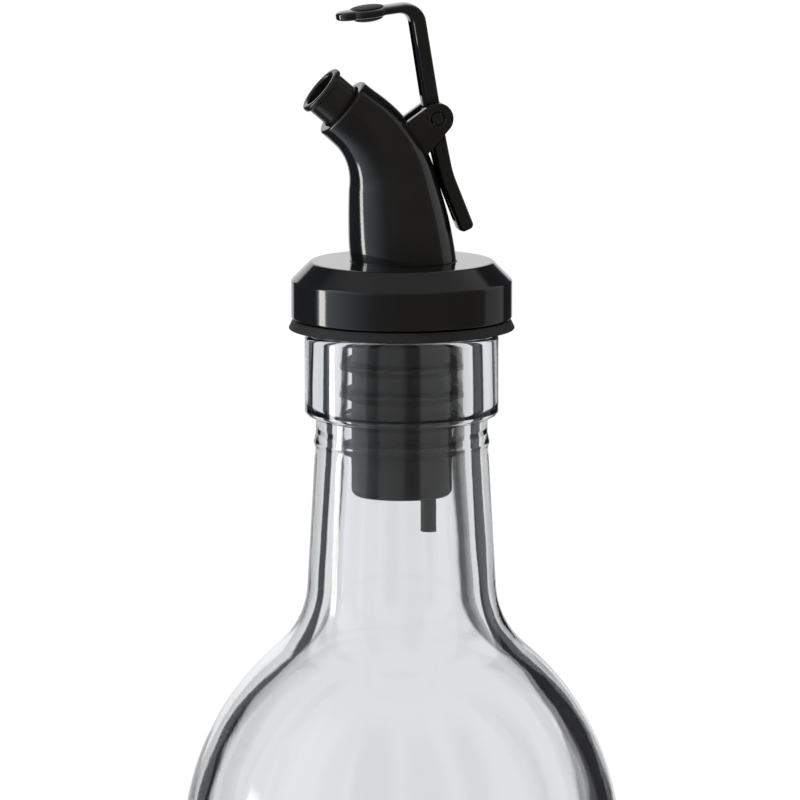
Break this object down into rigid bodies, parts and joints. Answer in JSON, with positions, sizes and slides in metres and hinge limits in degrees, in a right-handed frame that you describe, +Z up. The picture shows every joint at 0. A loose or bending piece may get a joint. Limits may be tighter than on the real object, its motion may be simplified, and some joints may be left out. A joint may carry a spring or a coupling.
{
  "type": "oil bottle",
  "caption": "Clear glass oil bottle with a finned stopper, a curved black pouring spout and a lever-operated lid.",
  "frame": {"origin": "centre of the base on the standing plane, on the axis of the bottle", "axes": "+Z up along the axis of the bottle, -X the way the spout pours, +X the side of the lever's thumb tail"},
  "size_m": [0.0722, 0.0722, 0.2741],
  "materials": {
    "clear_glass": "clear, slightly rippled",
    "stopper_rubber": "soft matte",
    "gloss_black": "polished moulded",
    "nozzle_plastic": "satin moulded",
    "vent_plastic": "satin extruded",
    "seal_rubber": "soft matte",
    "pin_plastic": "moulded"
  },
  "bodies": {
    "bottle": {"bottle": "clear_glass"},
    "pourer": {"stopper": "stopper_rubber", "cap": "gloss_black", "spout_body": "gloss_black", "pour_nozzle": "nozzle_plastic", "vent_tube": "vent_plastic", "hinge_pin": "pin_plastic"},
    "lever": {"lever": "gloss_black", "lid_seal": "seal_rubber"}
  },
  "joints": [
    {"name": "pourer_lift", "type": "slide", "parent": "bottle", "child": "pourer", "axis": [0, 0, 1], "range_m": [0, 0.06]},
    {"name": "lever_hinge", "type": "hinge", "parent": "pourer", "child": "lever", "pos_m": [0.0054, 0, 0.2552], "axis": [0, -1, 0], "range_deg": [0, 40]}
  ]
}
